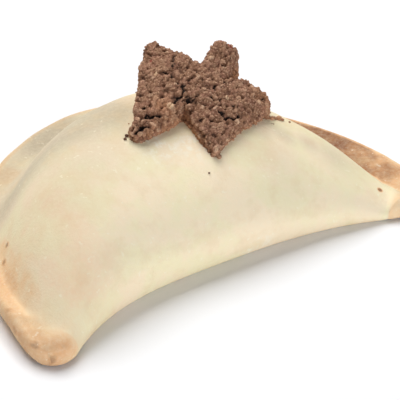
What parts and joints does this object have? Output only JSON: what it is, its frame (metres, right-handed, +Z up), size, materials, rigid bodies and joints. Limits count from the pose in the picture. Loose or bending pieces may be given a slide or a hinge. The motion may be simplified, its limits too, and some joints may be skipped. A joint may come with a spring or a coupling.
{
  "type": "sweet turnover",
  "caption": "Half-moon pastry turnover with a sealed rim and blunt horns, and a star-shaped cut in its crown that dark, craggy chocolate and almond filling swells out of.",
  "frame": {"origin": "middle of the bounding box in plan, at the flat base that the turnover rests on", "axes": "+X from the left horn to the right horn, -Y towards the folded front edge, +Y towards the sealed rim, +Z up"},
  "size_m": [0.11, 0.0782, 0.0346],
  "materials": {
    "dough": "pale baked sweet dough, matt, with fine pores and a browned rim",
    "filling": "coarse, crumbly chocolate and almond paste, matt, dark in its crevices"
  },
  "bodies": {
    "root": {"dough": "dough", "filling": "filling"}
  },
  "joints": []
}
